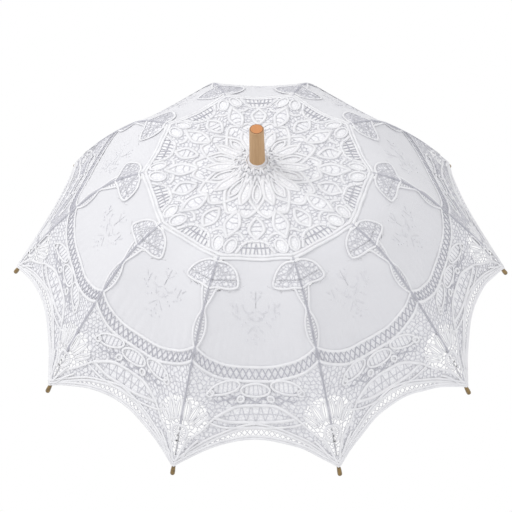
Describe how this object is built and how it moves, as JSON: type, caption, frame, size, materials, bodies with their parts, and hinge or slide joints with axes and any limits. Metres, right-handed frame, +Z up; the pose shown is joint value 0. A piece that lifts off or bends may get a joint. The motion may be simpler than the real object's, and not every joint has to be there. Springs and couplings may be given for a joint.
{
  "type": "parasol",
  "caption": "Folding hand parasol: lace-trimmed cotton dome on sprung ribs, sliding runner with stretchers, wooden stick, handle and tip.",
  "frame": {"origin": "on the stick's axis, at the middle of the handle's straight grip", "axes": "+Z up the stick towards the ferrule, +X along the first rib; the pressed catches face +X"},
  "size_m": [0.8032, 0.7642, 0.7117],
  "materials": {
    "wood": "fine satin varnish",
    "notch_metal": "dull plated brass",
    "rib_steel": "dark nickel-plated spring steel",
    "bridge_metal": "pressed plated steel",
    "wire_metal": "drawn wire",
    "catch_steel": "spring strip",
    "cap": "dark varnished turned tip",
    "cloth": "plain woven cotton with tape lace"
  },
  "bodies": {
    "stick": {"shaft": "wood", "handle": "wood", "ferrule": "wood", "notch": "notch_metal", "notch_wire": "wire_metal", "canopy": "cloth"},
    "runner": {"runner": "notch_metal", "runner_wire": "wire_metal"},
    "top_catch": {"top_catch": "catch_steel"},
    "bottom_catch": {"bottom_catch": "catch_steel"},
    "rib_01": {"rib_inner_01": "rib_steel", "rib_bridge_01": "bridge_metal"},
    "rib_end_01": {"rib_outer_01": "rib_steel", "tip_cap_01": "cap"},
    "stretcher_01": {"stretcher_01": "rib_steel"},
    "rib_02": {"rib_inner_02": "rib_steel", "rib_bridge_02": "bridge_metal"},
    "rib_end_02": {"rib_outer_02": "rib_steel", "tip_cap_02": "cap"},
    "stretcher_02": {"stretcher_02": "rib_steel"},
    "rib_03": {"rib_inner_03": "rib_steel", "rib_bridge_03": "bridge_metal"},
    "rib_end_03": {"rib_outer_03": "rib_steel", "tip_cap_03": "cap"},
    "stretcher_03": {"stretcher_03": "rib_steel"},
    "rib_04": {"rib_inner_04": "rib_steel", "rib_bridge_04": "bridge_metal"},
    "rib_end_04": {"rib_outer_04": "rib_steel", "tip_cap_04": "cap"},
    "stretcher_04": {"stretcher_04": "rib_steel"},
    "rib_05": {"rib_inner_05": "rib_steel", "rib_bridge_05": "bridge_metal"},
    "rib_end_05": {"rib_outer_05": "rib_steel", "tip_cap_05": "cap"},
    "stretcher_05": {"stretcher_05": "rib_steel"},
    "rib_06": {"rib_inner_06": "rib_steel", "rib_bridge_06": "bridge_metal"},
    "rib_end_06": {"rib_outer_06": "rib_steel", "tip_cap_06": "cap"},
    "stretcher_06": {"stretcher_06": "rib_steel"},
    "rib_07": {"rib_inner_07": "rib_steel", "rib_bridge_07": "bridge_metal"},
    "rib_end_07": {"rib_outer_07": "rib_steel", "tip_cap_07": "cap"},
    "stretcher_07": {"stretcher_07": "rib_steel"},
    "rib_08": {"rib_inner_08": "rib_steel", "rib_bridge_08": "bridge_metal"},
    "rib_end_08": {"rib_outer_08": "rib_steel", "tip_cap_08": "cap"},
    "stretcher_08": {"stretcher_08": "rib_steel"},
    "rib_09": {"rib_inner_09": "rib_steel", "rib_bridge_09": "bridge_metal"},
    "rib_end_09": {"rib_outer_09": "rib_steel", "tip_cap_09": "cap"},
    "stretcher_09": {"stretcher_09": "rib_steel"},
    "rib_10": {"rib_inner_10": "rib_steel", "rib_bridge_10": "bridge_metal"},
    "rib_end_10": {"rib_outer_10": "rib_steel", "tip_cap_10": "cap"},
    "stretcher_10": {"stretcher_10": "rib_steel"}
  },
  "joints": [
    {"name": "runner_slide", "type": "slide", "parent": "stick", "child": "runner", "axis": [0, 0, 1], "range_m": [-0.28332, 0], "deforming": ["canopy"]},
    {"name": "rib_hinge_01", "type": "hinge", "parent": "stick", "child": "rib_01", "pos_m": [0.0124, 0, 0.545], "axis": [0, 1, 0], "range_deg": [0, 77.02]},
    {"name": "rib_flex_01", "type": "hinge", "parent": "rib_01", "child": "rib_end_01", "pos_m": [0.20392, 0, 0.51549], "axis": [0, 1, 0], "range_deg": [-35.02, 0]},
    {"name": "stretcher_hinge_01", "type": "hinge", "parent": "rib_01", "child": "stretcher_01", "pos_m": [0.19335, 0, 0.51389], "axis": [0, 1, 0], "range_deg": [-145.86, 0]},
    {"name": "rib_hinge_02", "type": "hinge", "parent": "stick", "child": "rib_02", "pos_m": [0.01003, 0.00729, 0.545], "axis": [-0.5878, 0.809, 0], "range_deg": [0, 77.02]},
    {"name": "rib_flex_02", "type": "hinge", "parent": "rib_02", "child": "rib_end_02", "pos_m": [0.16497, 0.11986, 0.51549], "axis": [-0.5878, 0.809, 0], "range_deg": [-35.02, 0]},
    {"name": "stretcher_hinge_02", "type": "hinge", "parent": "rib_02", "child": "stretcher_02", "pos_m": [0.15643, 0.11365, 0.51389], "axis": [-0.5878, 0.809, 0], "range_deg": [-145.86, 0]},
    {"name": "rib_hinge_03", "type": "hinge", "parent": "stick", "child": "rib_03", "pos_m": [0.00383, 0.01179, 0.545], "axis": [-0.9511, 0.309, 0], "range_deg": [0, 77.02]},
    {"name": "rib_flex_03", "type": "hinge", "parent": "rib_03", "child": "rib_end_03", "pos_m": [0.06302, 0.19394, 0.51549], "axis": [-0.9511, 0.309, 0], "range_deg": [-35.02, 0]},
    {"name": "stretcher_hinge_03", "type": "hinge", "parent": "rib_03", "child": "stretcher_03", "pos_m": [0.05975, 0.18389, 0.51389], "axis": [-0.9511, 0.309, 0], "range_deg": [-145.86, 0]},
    {"name": "rib_hinge_04", "type": "hinge", "parent": "stick", "child": "rib_04", "pos_m": [-0.00383, 0.01179, 0.545], "axis": [-0.9511, -0.309, 0], "range_deg": [0, 77.02]},
    {"name": "rib_flex_04", "type": "hinge", "parent": "rib_04", "child": "rib_end_04", "pos_m": [-0.06302, 0.19394, 0.51549], "axis": [-0.9511, -0.309, 0], "range_deg": [-35.02, 0]},
    {"name": "stretcher_hinge_04", "type": "hinge", "parent": "rib_04", "child": "stretcher_04", "pos_m": [-0.05975, 0.18389, 0.51389], "axis": [-0.9511, -0.309, 0], "range_deg": [-145.86, 0]},
    {"name": "rib_hinge_05", "type": "hinge", "parent": "stick", "child": "rib_05", "pos_m": [-0.01003, 0.00729, 0.545], "axis": [-0.5878, -0.809, 0], "range_deg": [0, 77.02]},
    {"name": "rib_flex_05", "type": "hinge", "parent": "rib_05", "child": "rib_end_05", "pos_m": [-0.16497, 0.11986, 0.51549], "axis": [-0.5878, -0.809, 0], "range_deg": [-35.02, 0]},
    {"name": "stretcher_hinge_05", "type": "hinge", "parent": "rib_05", "child": "stretcher_05", "pos_m": [-0.15643, 0.11365, 0.51389], "axis": [-0.5878, -0.809, 0], "range_deg": [-145.86, 0]},
    {"name": "rib_hinge_06", "type": "hinge", "parent": "stick", "child": "rib_06", "pos_m": [-0.0124, 0, 0.545], "axis": [0, -1, 0], "range_deg": [0, 77.02]},
    {"name": "rib_flex_06", "type": "hinge", "parent": "rib_06", "child": "rib_end_06", "pos_m": [-0.20392, 0, 0.51549], "axis": [0, -1, 0], "range_deg": [-35.02, 0]},
    {"name": "stretcher_hinge_06", "type": "hinge", "parent": "rib_06", "child": "stretcher_06", "pos_m": [-0.19335, 0, 0.51389], "axis": [0, -1, 0], "range_deg": [-145.86, 0]},
    {"name": "rib_hinge_07", "type": "hinge", "parent": "stick", "child": "rib_07", "pos_m": [-0.01003, -0.00729, 0.545], "axis": [0.5878, -0.809, 0], "range_deg": [0, 77.02]},
    {"name": "rib_flex_07", "type": "hinge", "parent": "rib_07", "child": "rib_end_07", "pos_m": [-0.16497, -0.11986, 0.51549], "axis": [0.5878, -0.809, 0], "range_deg": [-35.02, 0]},
    {"name": "stretcher_hinge_07", "type": "hinge", "parent": "rib_07", "child": "stretcher_07", "pos_m": [-0.15643, -0.11365, 0.51389], "axis": [0.5878, -0.809, 0], "range_deg": [-145.86, 0]},
    {"name": "rib_hinge_08", "type": "hinge", "parent": "stick", "child": "rib_08", "pos_m": [-0.00383, -0.01179, 0.545], "axis": [0.9511, -0.309, 0], "range_deg": [0, 77.02]},
    {"name": "rib_flex_08", "type": "hinge", "parent": "rib_08", "child": "rib_end_08", "pos_m": [-0.06302, -0.19394, 0.51549], "axis": [0.9511, -0.309, 0], "range_deg": [-35.02, 0]},
    {"name": "stretcher_hinge_08", "type": "hinge", "parent": "rib_08", "child": "stretcher_08", "pos_m": [-0.05975, -0.18389, 0.51389], "axis": [0.9511, -0.309, 0], "range_deg": [-145.86, 0]},
    {"name": "rib_hinge_09", "type": "hinge", "parent": "stick", "child": "rib_09", "pos_m": [0.00383, -0.01179, 0.545], "axis": [0.9511, 0.309, 0], "range_deg": [0, 77.02]},
    {"name": "rib_flex_09", "type": "hinge", "parent": "rib_09", "child": "rib_end_09", "pos_m": [0.06302, -0.19394, 0.51549], "axis": [0.9511, 0.309, 0], "range_deg": [-35.02, 0]},
    {"name": "stretcher_hinge_09", "type": "hinge", "parent": "rib_09", "child": "stretcher_09", "pos_m": [0.05975, -0.18389, 0.51389], "axis": [0.9511, 0.309, 0], "range_deg": [-145.86, 0]},
    {"name": "rib_hinge_10", "type": "hinge", "parent": "stick", "child": "rib_10", "pos_m": [0.01003, -0.00729, 0.545], "axis": [0.5878, 0.809, 0], "range_deg": [0, 77.02]},
    {"name": "rib_flex_10", "type": "hinge", "parent": "rib_10", "child": "rib_end_10", "pos_m": [0.16497, -0.11986, 0.51549], "axis": [0.5878, 0.809, 0], "range_deg": [-35.02, 0]},
    {"name": "stretcher_hinge_10", "type": "hinge", "parent": "rib_10", "child": "stretcher_10", "pos_m": [0.15643, -0.11365, 0.51389], "axis": [0.5878, 0.809, 0], "range_deg": [-145.86, 0]},
    {"name": "top_catch_press", "type": "hinge", "parent": "stick", "child": "top_catch", "pos_m": [0.001, 0, 0.3826], "axis": [0, 1, 0], "range_deg": [-4.2, 0], "stiffness_Nm_per_rad": 0.3},
    {"name": "bottom_catch_press", "type": "hinge", "parent": "stick", "child": "bottom_catch", "pos_m": [0.001, 0, 0.1161], "axis": [0, 1, 0], "range_deg": [-4.2, 0], "stiffness_Nm_per_rad": 0.3}
  ],
  "couplings": [
    {"joint": "rib_hinge_01", "follows": "runner_slide", "rad_per_m": -4.7433},
    {"joint": "rib_flex_01", "follows": "runner_slide", "rad_per_m": 2.1561},
    {"joint": "stretcher_hinge_01", "follows": "runner_slide", "rad_per_m": 8.9841},
    {"joint": "rib_hinge_02", "follows": "runner_slide", "rad_per_m": -4.7433},
    {"joint": "rib_flex_02", "follows": "runner_slide", "rad_per_m": 2.1561},
    {"joint": "stretcher_hinge_02", "follows": "runner_slide", "rad_per_m": 8.9841},
    {"joint": "rib_hinge_03", "follows": "runner_slide", "rad_per_m": -4.7433},
    {"joint": "rib_flex_03", "follows": "runner_slide", "rad_per_m": 2.1561},
    {"joint": "stretcher_hinge_03", "follows": "runner_slide", "rad_per_m": 8.9841},
    {"joint": "rib_hinge_04", "follows": "runner_slide", "rad_per_m": -4.7433},
    {"joint": "rib_flex_04", "follows": "runner_slide", "rad_per_m": 2.1561},
    {"joint": "stretcher_hinge_04", "follows": "runner_slide", "rad_per_m": 8.9841},
    {"joint": "rib_hinge_05", "follows": "runner_slide", "rad_per_m": -4.7433},
    {"joint": "rib_flex_05", "follows": "runner_slide", "rad_per_m": 2.1561},
    {"joint": "stretcher_hinge_05", "follows": "runner_slide", "rad_per_m": 8.9841},
    {"joint": "rib_hinge_06", "follows": "runner_slide", "rad_per_m": -4.7433},
    {"joint": "rib_flex_06", "follows": "runner_slide", "rad_per_m": 2.1561},
    {"joint": "stretcher_hinge_06", "follows": "runner_slide", "rad_per_m": 8.9841},
    {"joint": "rib_hinge_07", "follows": "runner_slide", "rad_per_m": -4.7433},
    {"joint": "rib_flex_07", "follows": "runner_slide", "rad_per_m": 2.1561},
    {"joint": "stretcher_hinge_07", "follows": "runner_slide", "rad_per_m": 8.9841},
    {"joint": "rib_hinge_08", "follows": "runner_slide", "rad_per_m": -4.7433},
    {"joint": "rib_flex_08", "follows": "runner_slide", "rad_per_m": 2.1561},
    {"joint": "stretcher_hinge_08", "follows": "runner_slide", "rad_per_m": 8.9841},
    {"joint": "rib_hinge_09", "follows": "runner_slide", "rad_per_m": -4.7433},
    {"joint": "rib_flex_09", "follows": "runner_slide", "rad_per_m": 2.1561},
    {"joint": "stretcher_hinge_09", "follows": "runner_slide", "rad_per_m": 8.9841},
    {"joint": "rib_hinge_10", "follows": "runner_slide", "rad_per_m": -4.7433},
    {"joint": "rib_flex_10", "follows": "runner_slide", "rad_per_m": 2.1561},
    {"joint": "stretcher_hinge_10", "follows": "runner_slide", "rad_per_m": 8.9841}
  ]
}
